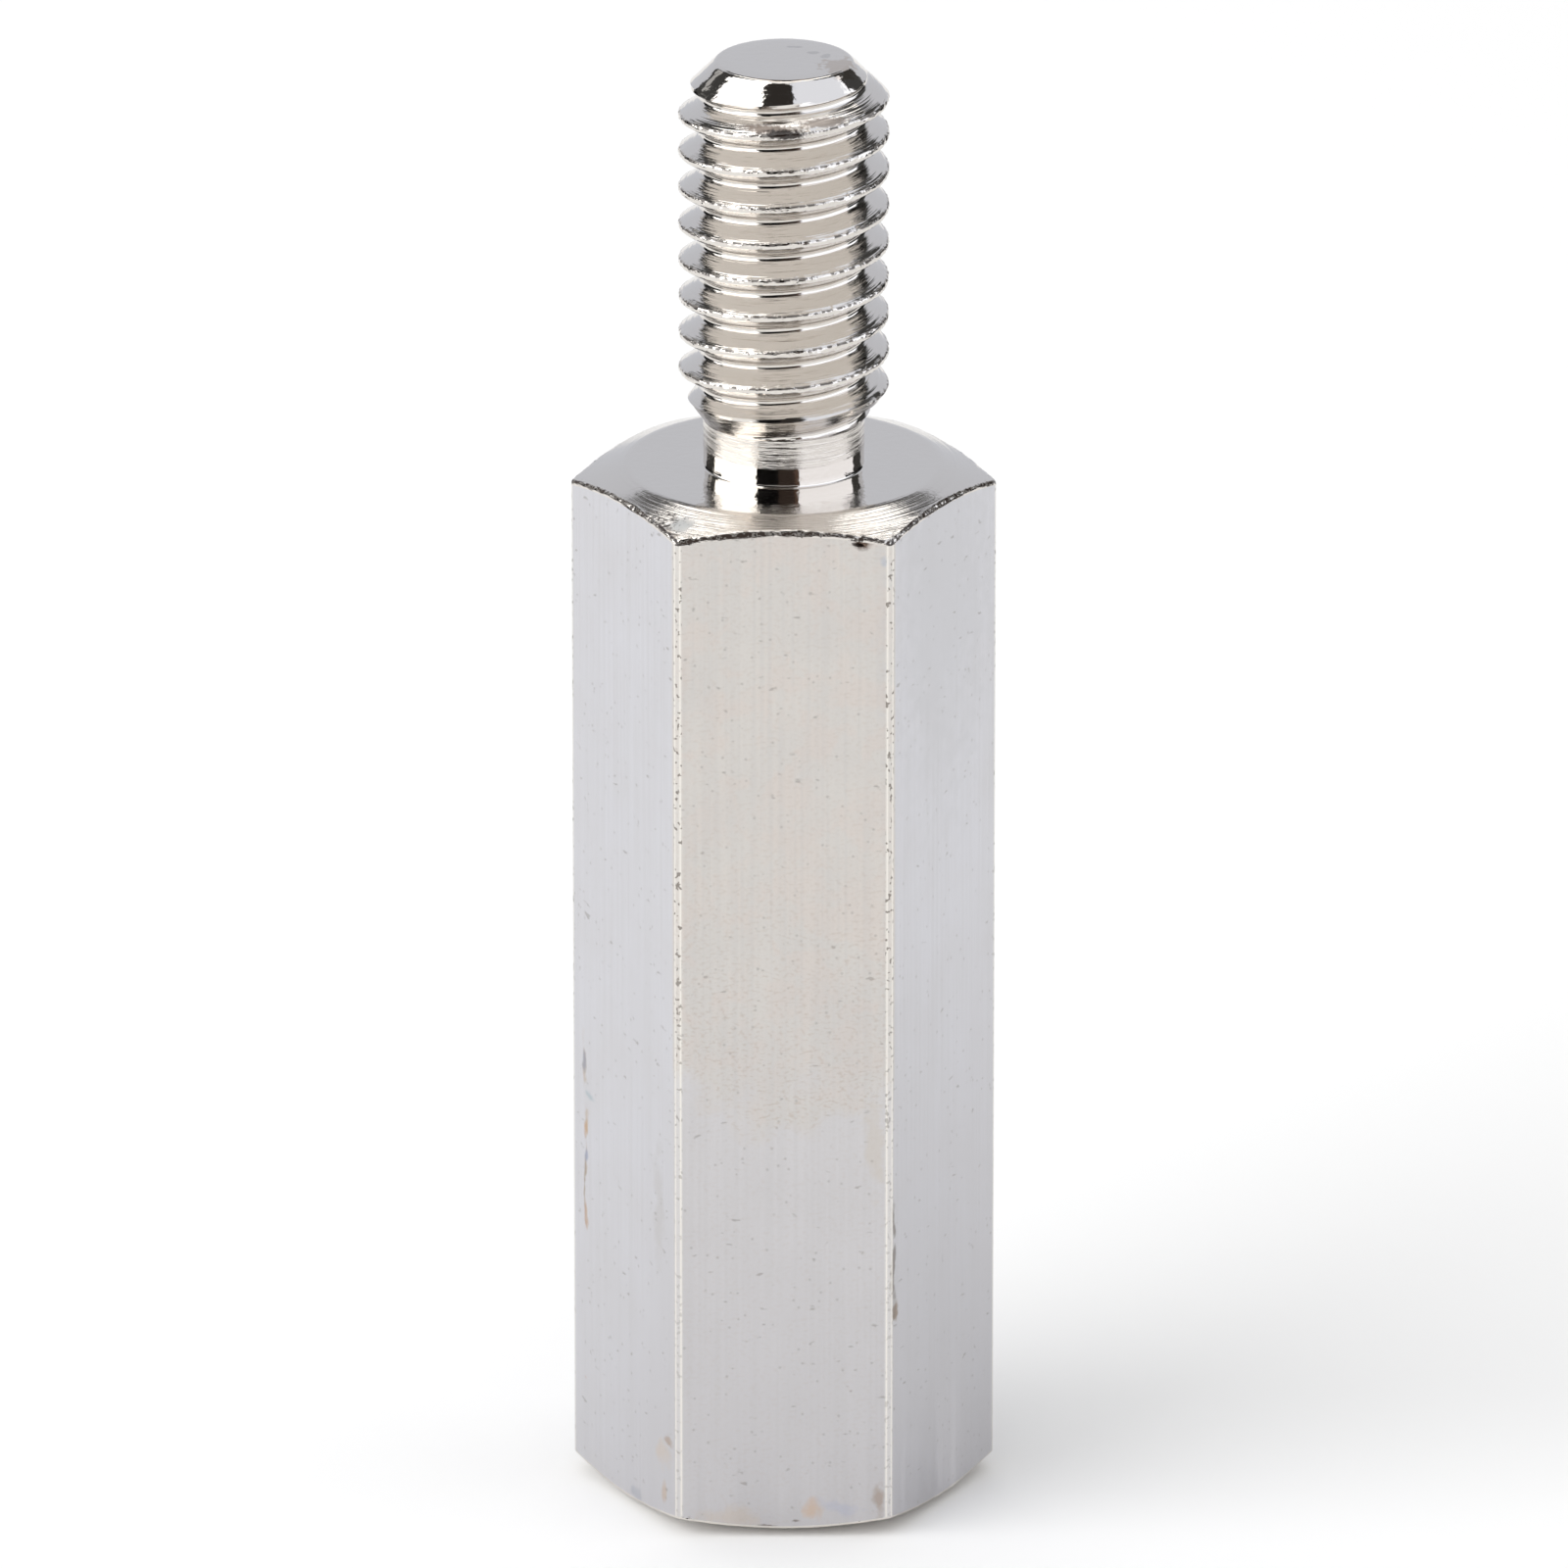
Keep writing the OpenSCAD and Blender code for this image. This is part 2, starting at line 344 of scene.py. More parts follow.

# %% [markdown]
# Old stains are soft spots, each with a place, a half size, a colour and a strength; one wide patch on the
# upper right flat is painted shade instead. They are pulled about by the same wandering noise, so none of
# them is round.

# %% Stains and painted shade
stains_and_painted_shade = [
    ((-3.68, -0.43, 7.7), (0.07, 0.12, 1.5), "#b59f86", 0.6),
    ((-3.6, -0.55, 7.75), (0.12, 0.2, 0.12), "#a9b6bd", 0.7),
    ((-3.7, -0.4, 9.3), (0.03, 0.06, 0.5), "#8f8a88", 0.7),
    ((-3.7, -0.4, 6.0), (0.035, 0.07, 0.9), "#a08f7c", 0.7),
    ((-2.25, -2.95, 1.5), (0.22, 0.36, 0.35), "#cdbba9", 0.45),
    ((-2.12, -3.15, 1.8), (0.14, 0.24, 0.09), "#a68d78", 0.6),
    ((-2.2, -3.04, 0.75), (0.08, 0.14, 0.3), "#bfa892", 0.6),
    ((-2.75, -2.05, 0.35), (0.2, 0.34, 0.14), "#a9acb6", 0.6),
    ((-1.0, -3.41, 0.45), (0.7, 0.3, 0.22), "#c8bcb0", 0.55),
    ((0.58, -3.41, 0.5), (0.18, 0.3, 0.22), "#c9ae97", 0.65),
    ((1.1, -3.41, 0.6), (0.42, 0.3, 0.16), "#b9bac6", 0.75),
    ((1.78, -3.41, 0.8), (0.13, 0.3, 0.4), "#a08c7b", 0.6),
    ((2.05, -3.27, 4.5), (0.07, 0.12, 0.28), "#8d7864", 0.75),
    ((1.8, -3.41, 19.25), (0.12, 0.3, 0.14), "#b4bac4", 0.7),
    ((-2.3, -2.83, 6.4), (0.16, 0.28, 1.3), "#bcb9b8", 0.5),
    ((1.68, -3.41, 7.8), (0.2, 0.3, 1.0), "#c6bcae", 0.4),
    ((2.03, -3.3, 5.6), (0.06, 0.11, 1.3), "#7d766e", 0.75),
    ((1.42, -3.41, 19.69), (0.17, 0.3, 0.18), "#5a483c", 0.95),
    ((-3.67, -0.46, 2.03), (0.05, 0.09, 0.05), "#b98a62", 0.8),
    ((-3.64, -0.52, 19.53), (0.08, 0.14, 0.05), "#8f8a86", 0.7),
    ((-0.3, -3.41, 0.27), (0.16, 0.3, 0.04), "#6b5f55", 0.7),
    ((0.28, -3.41, 0.27), (0.12, 0.3, 0.04), "#6b5f55", 0.7),
    # Painted shade: this wide patch darkens the upper right flat.
    ((2.95, -1.7, 18.5), (1.5, 2.6, 5.0), "#c3c3c6", 0.5),
    ((-3.69, -0.43, 8.4), (0.07, 0.12, 0.35), "#8f95a5", 0.65),
    ((-3.69, -0.43, 6.95), (0.07, 0.12, 0.3), "#bf9f80", 0.65),
    ((-3.69, -0.43, 6.5), (0.06, 0.1, 0.14), "#98a2bd", 0.65),
    ((-3.69, -0.43, 5.3), (0.06, 0.1, 0.4), "#b8977a", 0.65),
    ((-3.69, -0.43, 3.5), (0.06, 0.1, 0.14), "#8a8580", 0.6),
]
pulled = add(tree, VECTOR, (wander, (0.5 * MM,) * 3, spot), operation="MULTIPLY_ADD")
crumbled = add(tree, NOISE, {"Vector": spot, "Scale": 1 / (0.3 * MM), "Detail": 5, "Roughness": 0.65})
crumbled = add(tree, MATH, (crumbled, 0.5), operation="SUBTRACT")
for centre, half_size, tint, strength in stains_and_painted_shade:
    stain_and_shade = patch(tree, pulled, centre, half_size, crumbled)
    stain_and_shade = add(tree, RANGE, (stain_and_shade, 0.45, 1.05, strength, 0))
    colour = add(tree, MIX, {0: stain_and_shade, 6: colour, 7: linear(tint)}, output=2, data_type="RGBA")
print("stains:", len(stains_and_painted_shade), "nodes so far:", len(tree.nodes))

# %% [markdown]
# Pits and short scratches are dark specks where fine noise peaks. The edge values come from an attribute that
# the mesh will carry: one on the rounded edges, nothing on the flats. The pale edge colour is partly the
# rubbed bright metal and partly painted highlight lines.

# %% Specks, rubbed edges and painted edge highlights
flecks = add(tree, "ShaderNodeMapping", {"Vector": spot, "Rotation": (0.4, 0.5, 0.3),
                                         "Scale": (1 / (0.25 * MM), 1 / (0.25 * MM), 1 / (0.12 * MM))})
flecks = add(tree, NOISE, {"Vector": flecks, "Scale": 1, "Detail": 2})
specks = add(tree, RANGE, (flecks, 0.69, 0.75, 0, 0.5))
colour = add(tree, MIX, {0: specks, 6: colour, 7: linear("#8f8a86")}, output=2, data_type="RGBA")
dots = add(tree, "ShaderNodeTexVoronoi", {"Vector": spot, "Scale": 1 / (0.25 * MM)}, output="Distance")
dots = add(tree, RANGE, (dots, 0.08, 0.14, 0.35, 0))
colour = add(tree, MIX, {0: dots, 6: colour, 7: linear("#8f8a86")}, output=2, data_type="RGBA")
dashes = add(tree, "ShaderNodeMapping", {"Vector": spot, "Rotation": (0, 0.3, 0),
                                         "Scale": (1 / (0.1 * MM), 1 / (0.1 * MM), 1 / (0.055 * MM))})
dashes = add(tree, NOISE, {"Vector": dashes, "Scale": 1, "Detail": 2})
dashes = add(tree, RANGE, (dashes, 0.52, 0.68, 0, 0.5))
sandy = add(tree, RANGE, (plain.outputs["Z"], reflection_edge_z * MM, (reflection_edge_z + 6) * MM, 0.6, 0.1))
sandy = add(tree, MATH, (sandy, painted_warm_reflection, 0.25), operation="MULTIPLY_ADD")
sandy = add(tree, MATH, (sandy, on_front), operation="MULTIPLY")
dashes = add(tree, MATH, (dashes, sandy), operation="MULTIPLY")
colour = add(tree, MIX, {0: dashes, 6: colour, 7: linear("#b3a295")}, output=2, data_type="RGBA")
# The pale edge colour is the rubbed bright metal together with painted highlight lines.
edge = add(tree, "ShaderNodeAttribute", output="Fac", attribute_name="edge_wear")
colour = add(tree, MIX, {0: edge, 6: colour, 7: linear("#f0ece5")}, output=2, data_type="RGBA")
pits = add(tree, NOISE, {"Vector": spot, "Scale": 1 / (0.08 * MM), "Detail": 1})
pits = add(tree, RANGE, (pits, 0.61, 0.66, 0, 1))
on_edge = add(tree, MATH, (edge, 0.15), operation="GREATER_THAN")
deeper = add(tree, RANGE, (plain.outputs["Z"], 0.3 * shoulder_z * MM, 0.6 * shoulder_z * MM, 0.25, 0.75))
on_edge = add(tree, MATH, (on_edge, deeper), operation="MULTIPLY")
pits = add(tree, MATH, (pits, on_edge), operation="MULTIPLY")
colour = add(tree, MIX, {0: pits, 6: colour, 7: linear("#6e665e")}, output=2, data_type="RGBA")
tree.links.new(colour, shader.inputs["Base Color"])
relief = add(tree, MATH, (grain, 0.3, draw_lines), operation="MULTIPLY_ADD")
relief = add(tree, MATH, (specks, -1.5, relief), operation="MULTIPLY_ADD")
bump = add(tree, "ShaderNodeBump", {"Height": relief, "Strength": 1, "Distance": 0.0012 * MM})
tree.links.new(bump, shader.inputs["Normal"])
tree.links.new(add(tree, RANGE, (cloud, 0.3, 0.7, 0.15, 0.24)), shader.inputs["Roughness"])
print(drawn.name, "nodes:", len(tree.nodes))

# %% [markdown]
# ## A thread cut by Geometry Nodes
# A die cuts one helical groove. A screw modifier would make the helix but not its fading ends, and a boolean
# would be slow and ragged. Here a flat grid is rolled round the axis: its columns go round and its rows climb
# with the helix, so every row keeps its place on the thread profile. The lead chamfer and the run-out are
# straight lines that limit the radius, as the lathe tool does. The same tree makes the tapped hole, with the
# groove outwards instead of inwards.

# %% Thread tree: inputs and grid
thread_inputs = {
    "Columns": "NodeSocketInt",
    "Turns": "NodeSocketInt",
    "Rows per Turn": "NodeSocketInt",
    "Pitch": "NodeSocketFloat",
    "Radius": "NodeSocketFloat",
    "Depth": "NodeSocketFloat",
    "Root Radius": "NodeSocketFloat",
    "Crest Rounding": "NodeSocketFloat",
    "Side": "NodeSocketFloat",
    "First Crest": "NodeSocketFloat",
    "Low End": "NodeSocketFloat",
    "Low Radius": "NodeSocketFloat",
    "Low Slope": "NodeSocketFloat",
    "High End": "NodeSocketFloat",
    "High Radius": "NodeSocketFloat",
    "High Slope": "NodeSocketFloat",
    "Fade End": "NodeSocketFloat",
    "Raggedness": "NodeSocketFloat",
    "Chip Size": "NodeSocketFloat",
    "Seed": "NodeSocketFloat",
    "Material": "NodeSocketMaterial",
}
thread = bpy.data.node_groups.new("cut_thread", "GeometryNodeTree")
for name, kind in thread_inputs.items():
    thread.interface.new_socket(name, in_out="INPUT", socket_type=kind)
thread.interface.new_socket("Geometry", in_out="OUTPUT", socket_type="NodeSocketGeometry")
given = thread.nodes.new("NodeGroupInput").outputs

columns = add(thread, MATH, (given["Columns"], 1), operation="ADD")
rows = add(thread, MATH, (given["Turns"], given["Rows per Turn"], 1), operation="MULTIPLY_ADD")
grid = add(thread, "GeometryNodeMeshGrid", (1, 1, columns, rows))
place = add(thread, "ShaderNodeSeparateXYZ", (add(thread, "GeometryNodeInputPosition"),)).node
around = add(thread, MATH, (place.outputs["X"], 0.5), operation="ADD")
climb = add(thread, MATH, (place.outputs["Y"], 0.5), operation="ADD")
climb = add(thread, MATH, (climb, given["Turns"]), operation="MULTIPLY")
print("thread tree nodes so far:", len(thread.nodes))

# %% [markdown]
# The profile bends at the edges of the crest and at the root, and is straight on the flanks. A curve moves
# the rows closer together at the bends, so that few rows draw them well.

# %% Thread tree: rows crowd at the bends
nearest_crest = add(thread, MATH, (climb,), operation="ROUND")
beside = add(thread, MATH, (climb, nearest_crest), operation="SUBTRACT")
way = add(thread, MATH, (beside,), operation="SIGN")
to_root = add(thread, MATH, (climb, 0.5), operation="PINGPONG")
to_root = add(thread, MATH, (to_root, 2), operation="MULTIPLY")
crowding = add(thread, "ShaderNodeFloatCurve", {"Value": to_root})
bends = crowding.node.mapping.curves[0].points
bends.new(0.25, 0.18)
bends.new(0.5, 0.72)
for bend in bends:
    bend.handle_type = "VECTOR"
crowding.node.mapping.update()
from_crest = add(thread, MATH, (crowding, 0.5), operation="MULTIPLY")
climb = add(thread, MATH, (from_crest, way, nearest_crest), operation="MULTIPLY_ADD")
print("thread tree nodes so far:", len(thread.nodes))

# %% [markdown]
# The height climbs with the turn and stops at both ends. The groove is a 60 degree V whose root is an arc
# that runs smoothly into both flanks. At the crest it stops with a small rounding.

# %% Thread tree: height and groove
turn = add(thread, MATH, (climb, around), operation="ADD")
height = add(thread, MATH, (turn, given["Pitch"], given["First Crest"]), operation="MULTIPLY_ADD")
height = add(thread, "ShaderNodeClamp", (height, given["Low End"], given["High End"]))
from_root = add(thread, MATH, (0.5, from_crest), operation="SUBTRACT")
from_root = add(thread, MATH, (from_root, given["Pitch"]), operation="MULTIPLY")
sharp_depth = add(thread, MATH, (given["Depth"], given["Root Radius"]), operation="ADD")
flank = add(thread, MATH, (from_root, -math.sqrt(3), sharp_depth), operation="MULTIPLY_ADD")
arc_middle = add(thread, MATH, (given["Depth"], given["Root Radius"]), operation="SUBTRACT")
arc_square = add(thread, MATH, (given["Root Radius"], 2), operation="POWER")
beside_square = add(thread, MATH, (from_root, 2), operation="POWER")
arc = add(thread, MATH, (arc_square, beside_square), operation="SUBTRACT")
arc = add(thread, MATH, (add(thread, MATH, (arc,), operation="SQRT"), arc_middle), operation="ADD")
arc_half = add(thread, MATH, (given["Root Radius"], math.sqrt(3) / 2), operation="MULTIPLY")
on_arc = add(thread, MATH, (from_root, arc_half), operation="LESS_THAN")
groove = add(thread, MIX, {0: on_arc, 2: flank, 3: arc})
groove = add(thread, MATH, (groove, 0, given["Crest Rounding"]), operation="SMOOTH_MAX")
to_fade = add(thread, MATH, (given["Fade End"], height), operation="SUBTRACT")
fade = add(thread, MATH, (to_fade, given["Pitch"]), operation="DIVIDE", use_clamp=True)
groove = add(thread, MATH, (groove, fade), operation="MULTIPLY")
print("thread tree nodes so far:", len(thread.nodes))

# %% [markdown]
# A die tears the crests a little, so noise nibbles at the crest rows only. Then the two end lines limit the
# radius, and the grid takes its final place.

# %% Thread tree: ragged crests and ends
angle = add(thread, MATH, (around, math.tau), operation="MULTIPLY")
cosine = add(thread, MATH, (angle,), operation="COSINE")
sine = add(thread, MATH, (angle,), operation="SINE")
on_crest = add(thread, RANGE, (from_crest, 0.06, 0.13, 1, 0))
wall_x = add(thread, MATH, (cosine, given["Radius"]), operation="MULTIPLY")
wall_y = add(thread, MATH, (sine, given["Radius"]), operation="MULTIPLY")
wall = add(thread, "ShaderNodeCombineXYZ", (wall_x, wall_y, height))
chip_scale = add(thread, MATH, (1, given["Chip Size"]), operation="DIVIDE")
chips = add(thread, NOISE, {"Vector": wall, "W": given["Seed"], "Scale": chip_scale, "Detail": 2},
            noise_dimensions="4D")
chips = add(thread, RANGE, (chips, 0.42, 0.75, 0, given["Raggedness"]))
chips = add(thread, MATH, (chips, on_crest), operation="MULTIPLY")
groove = add(thread, MATH, (groove, chips), operation="ADD")
radius = add(thread, MATH, (given["Side"], groove), operation="MULTIPLY")
radius = add(thread, MATH, (given["Radius"], radius), operation="SUBTRACT")
above = add(thread, MATH, (height, given["Low End"]), operation="SUBTRACT")
low_line = add(thread, MATH, (above, given["Low Slope"], given["Low Radius"]), operation="MULTIPLY_ADD")
below = add(thread, MATH, (given["High End"], height), operation="SUBTRACT")
high_line = add(thread, MATH, (below, given["High Slope"], given["High Radius"]), operation="MULTIPLY_ADD")
for line in (low_line, high_line):
    signed_radius = add(thread, MATH, (radius, given["Side"]), operation="MULTIPLY")
    signed_line = add(thread, MATH, (line, given["Side"]), operation="MULTIPLY")
    radius = add(thread, MATH, (signed_radius, signed_line), operation="MINIMUM")
    radius = add(thread, MATH, (radius, given["Side"]), operation="MULTIPLY")
rolled_x = add(thread, MATH, (cosine, radius), operation="MULTIPLY")
rolled_y = add(thread, MATH, (sine, radius), operation="MULTIPLY")
rolled = add(thread, "ShaderNodeCombineXYZ", (rolled_x, rolled_y, height))
shape = add(thread, "GeometryNodeSetPosition", {"Geometry": grid, "Position": rolled})
shape = add(thread, "GeometryNodeMergeByDistance", {"Geometry": shape, "Distance": 0.001 * MM})
shape = add(thread, "GeometryNodeRealizeInstances", (shape,))
shape = add(thread, "GeometryNodeSetMaterial", {"Geometry": shape, "Material": given["Material"]})
add(thread, "NodeGroupOutput", (shape,))
print("thread tree nodes:", len(thread.nodes))

# %% [markdown]
# The tree runs twice. The stud's thread starts where the photograph shows its crests and stops just under the
# end face, where a small rounding takes over. The hole's thread starts in the countersink and fades before
# the bottom of the drilled hole.

# %% Cut both threads
def cut_thread(name, **values):
    """Runs the tree with these inputs and returns the result as a plain mesh."""
    holder = bpy.data.objects.new(name, bpy.data.meshes.new(name))
    bpy.context.scene.collection.objects.link(holder)
    modifier = holder.modifiers.new("cut", "NODES")
    modifier.node_group = thread
    for socket in thread.interface.items_tree:
        if socket.in_out == "INPUT":
            modifier[socket.identifier] = values[socket.name.lower().replace(" ", "_")]
    shown = holder.evaluated_get(bpy.context.evaluated_depsgraph_get())
    mesh = bpy.data.meshes.new_from_object(shown)
    bpy.data.objects.remove(holder)
    return mesh


stud_columns = 208
hole_columns = 72
runout_slope = math.tan(math.radians(36))
lead_slope = 1.0
never = 1.0
end_round = 0.14
end_tangent = end_round * math.tan(math.radians(22.5))
end_start = end_tangent * math.sqrt(0.5)
stud_mesh = cut_thread(
    "stud_thread", columns=stud_columns, turns=11, rows_per_turn=24, pitch=pitch * MM,
    radius=crest_r * MM, depth=0.43 * MM, root_radius=0.09 * MM, crest_rounding=0.07 * MM, side=1.0,
    first_crest=(crest_on_right - 9 * pitch) * MM,
    low_end=neck_top * MM, low_radius=neck_r * MM, low_slope=runout_slope,
    high_end=(total_length - end_start) * MM, high_radius=(end_r + end_start) * MM, high_slope=lead_slope,
    fade_end=never, raggedness=0.03 * MM, chip_size=0.09 * MM, seed=4.0, material=cut)
hole_mesh = cut_thread(
    "hole_thread", columns=hole_columns, turns=19, rows_per_turn=8, pitch=pitch * MM,
    radius=drill_r * MM, depth=0.36 * MM, root_radius=0.05 * MM, crest_rounding=0.02 * MM, side=-1.0,
    first_crest=-pitch * MM,
    low_end=0.0, low_radius=mouth_r * MM, low_slope=-1.0,
    high_end=hole_depth * MM, high_radius=drill_r * MM, high_slope=0.0,
    fade_end=10.5 * MM, raggedness=0.0, chip_size=0.12 * MM, seed=5.0, material=cut)
print("stud thread faces:", len(stud_mesh.polygons), "hole thread faces:", len(hole_mesh.polygons))

# %% [markdown]
# ## The drawn bar
# A hex bar has flat sides and slightly rounded edges. A cylinder with six sides would have sharp edges and
# no points to model wear with, so the body is built from rings of points. Each ring has columns
# close together at the six edges and further apart on the flats.

# %% Bar section
edge_radius = 0.17
half_side = math.radians(30)
edge_turn = math.radians(1.7)
edge_columns, flat_columns = 6, 84
one_side = np.concatenate([
    np.linspace(-half_side, edge_turn - half_side, edge_columns, endpoint=False),
    np.linspace(edge_turn - half_side, half_side - edge_turn, flat_columns, endpoint=False),
    np.linspace(half_side - edge_turn, half_side, edge_columns, endpoint=False)])
off_flat = np.tile(one_side, 6)
bar_angles = half_side + np.repeat(2 * half_side * np.arange(6), len(one_side)) + off_flat
edge_centre = (half_flats - edge_radius) / math.cos(half_side)
off_edge = half_side - np.abs(off_flat)
reach = np.clip(edge_radius ** 2 - (edge_centre * np.sin(off_edge)) ** 2, 0, None)
edge_arc = edge_centre * np.cos(off_edge) + np.sqrt(reach)
arc_starts = math.atan2((half_flats - edge_radius) * math.tan(half_side), half_flats)
bar_r = np.where(np.abs(off_flat) > arc_starts, edge_arc, half_flats / np.cos(off_flat))
print("columns round the bar:", len(bar_angles), "widest radius, mm:", round(bar_r.max(), 3))

# %% [markdown]
# Two small functions do all the building: one adds a ring of points, and one joins neighbouring rings with
# faces. Rings of different counts are zipped with triangles, which happens only on flat faces, where no
# shading shows it.

# %% Rings and stitching
points = []
faces = []
finishes = []
DRAWN, TURNED, GROOVED, CUT = range(4)


def ring(angles, radii, heights):
    """Adds one closed ring of points and returns its angles and point numbers."""
    start = len(points)
    for a, r, z in np.broadcast(angles, radii, heights):
        points.append((r * math.cos(a), r * math.sin(a), z))
    return angles, range(start, len(points))


def skin(rings, finish):
    """Joins each ring to the next one with a band of faces."""
    for (low_angles, low), (high_angles, high) in zip(rings, rings[1:]):
        i = j = 0
        while i < len(low) or j < len(high):
            a, b = low[i % len(low)], high[j % len(high)]
            next_low = low_angles[(i + 1) % len(low)] + math.tau * ((i + 1) // len(low))
            next_high = high_angles[(j + 1) % len(high)] + math.tau * ((j + 1) // len(high))
            step_low = i < len(low) and (j >= len(high) or next_low <= next_high + 1e-9)
            step_high = j < len(high) and (i >= len(low) or next_high <= next_low + 1e-9)
            i, j = i + step_low, j + step_high
            corners = (a, low[i % len(low)], high[j % len(high)], b)
            faces.append(tuple(dict.fromkeys(corners)))
            finishes.append(finish)


stud_angles = np.arange(stud_columns) * math.tau / stud_columns
hole_angles = np.arange(hole_columns) * math.tau / hole_columns
print("ready to stitch rings of", len(bar_angles), stud_columns, "and", hole_columns, "points")

# %% [markdown]
# ## Chamfered ends
# A chamfer cut on a hex bar dips towards the corners, which gives the scalloped edge under the shoulder. The
# edge between chamfer and flat is a narrow rounded lip that the tool tore a little, so its rows shift by
# a seeded random amount. One function gives the rows for both ends.

# %% Rows of a chamfered end
rng = np.random.default_rng(11)
chamfer_slope = 20
lip_turn = 90 - chamfer_slope
bend_rs = (1.9, 2.4, 2.7, 2.8, 2.84, 2.87, 2.9, 2.93, 2.96, 3.0, 3.06)


def wavering(spread):
    """A random value for every column of the bar, smoothed over its neighbours."""
    kernel = np.hanning(2 * spread + 1)
    noise = rng.normal(size=len(bar_angles))
    smooth = np.convolve(np.concatenate([noise[-spread:], noise, noise[:spread]]), kernel, "valid")
    return smooth / smooth.std()


def end_drop(r, soft):
    """How far the chamfer lies below the end face at a radius."""
    past = r - face_r
    return math.tan(math.radians(chamfer_slope)) * (past + np.sqrt(past ** 2 + soft ** 2)) / 2


def end_rows(lip, tear, soft):
    """Radius and drop of each row from the end face to the flat, and where the flat starts."""
    tangent = lip * math.tan(math.radians(lip_turn / 2))
    lip_r = bar_r - tangent * math.cos(math.radians(chamfer_slope))
    rows = []
    for r in bend_rs:
        rows.append((np.full_like(bar_r, r), end_drop(r, soft)))
    for share in (0.3, 0.6, 0.85, 1.0):
        r = bend_rs[-1] + share * (lip_r - bend_rs[-1])
        rows.append((r, end_drop(r, soft)))
    flat_drop = end_drop(bar_r, soft) + tangent
    for rise in (58, 46, 34, 22, 10, 0):
        reach = lip + tear * math.sin(math.pi * rise / lip_turn)
        rows.append((bar_r - lip + reach * math.cos(math.radians(rise)),
                     flat_drop - reach * math.sin(math.radians(rise))))
    return rows, flat_drop


front = np.sin(bar_angles) < -0.8
top_tear = 0.006 * wavering(2) + 0.009 * wavering(5) + 0.009 * wavering(14)
top_tear = top_tear * np.where(front, 0.8, 0.45)
base_tear = 0.003 * wavering(3) + 0.004 * wavering(9)
top_rows, top_drop = end_rows(0.11, top_tear, 0.06)
base_rows, base_drop = end_rows(0.06, base_tear, 0.03)
flat_top = shoulder_z - top_drop
print("rows at an end:", len(top_rows), "flat starts below the face, mm:", top_drop.min().round(3))

# %% [markdown]
# ## From the neck to the base
# The rings now run down the part: neck, shoulder, top chamfer, flats, base chamfer and the mouth of the hole.
# The foot of the neck has the small radius of the tool's nose.

# %% Neck, shoulder and top chamfer
foot_round = 0.05
groove_start = shoulder_z + 0.36
rings = [ring(stud_angles, neck_r, z) for z in np.linspace(neck_top, groove_start, 6)]
skin(rings, GROOVED)
rings = [rings[-1]]
rings += [ring(stud_angles, neck_r, z) for z in np.linspace(groove_start - 0.1, shoulder_z + foot_round, 4)]
for swing in np.radians([18, 36, 54, 72, 90]):
    rings.append(ring(stud_angles, neck_r + foot_round * (1 - math.cos(swing)),
                      shoulder_z + foot_round * (1 - math.sin(swing))))
top_rings = [ring(bar_angles, r, shoulder_z - drop) for r, drop in top_rows]
shoulder_rows = 6
skin(rings + top_rings[:shoulder_rows], TURNED)
skin(top_rings[shoulder_rows - 1:], GROOVED)
print("points:", len(points), "faces:", len(faces))

# %% [markdown]
# The flats need few rows, except near the top, where a nick on the front edge presses the flat in a little,
# as on the real part.

# %% Flats
nick_x, nick_z = 1.4, shoulder_z - 0.29
nick_depth = 0.11
nick_half_width, nick_half_height = 0.15, 0.1
flat_rings = [top_rings[-1]]
flat_heights = [flat_top - below for below in (0.04, 0.08, 0.12, 0.17, 0.23, 0.32, 0.5)]
flat_heights += [flat_top - 0.5 + share * (base_drop - flat_top + 0.5) for share in np.linspace(0.06, 1, 7)]
for z in flat_heights:
    x = bar_r * np.cos(bar_angles)
    from_nick = ((x - nick_x) / nick_half_width) ** 2 + ((z - nick_z) / nick_half_height) ** 2
    nick = front * nick_depth * np.exp(-from_nick)
    flat_rings.append(ring(bar_angles, bar_r - nick, z))
skin(flat_rings, DRAWN)
print("points:", len(points), "faces:", len(faces))

# %% [markdown]
# The base takes the rows of a chamfered end in reverse, without the five that lie on the face. A drill leaves
# a cone at the bottom of the hole, and the end of the stud is a flat disc with a rounded rim.

# %% Base, hole and end of the stud
face_rows = 5
base_rings = [flat_rings[-1]]
base_rings += [ring(bar_angles, r, drop) for r, drop in reversed(base_rows[face_rows:-1])]
skin(base_rings, GROOVED)
skin([base_rings[-1], ring(hole_angles, mouth_r, 0.0)], TURNED)

point_half_angle = math.radians(59)
point_depth = drill_r / math.tan(point_half_angle)
point_rings = [ring(hole_angles, drill_r * share, hole_depth + point_depth * (1 - share))
               for share in (1, 0.66, 0.33, 0.03)]
skin(point_rings, TURNED)
end_rings = []
for swing in np.radians([45, 60, 75, 90]):
    end_rings.append(ring(stud_angles, end_r - end_tangent + end_round * math.cos(swing),
                          total_length - end_round * (1 - math.sin(swing))))
end_rings += [ring(stud_angles, end_r * share, total_length) for share in (0.7, 0.4, 0.05)]
skin(end_rings, TURNED)
for middle in (point_rings[-1], end_rings[-1]):
    faces.append(tuple(middle[1]))
    finishes.append(TURNED)
print("points:", len(points), "faces:", len(faces))

# %% [markdown]
# ## One closed skin
# The body and the two threads meet in rings at the same places, so joining them is a matter of merging
# doubles. A closed skin has no open edge, and the script counts them. Shading is smooth, and edges sharper
# than 28 degrees stay crisp.

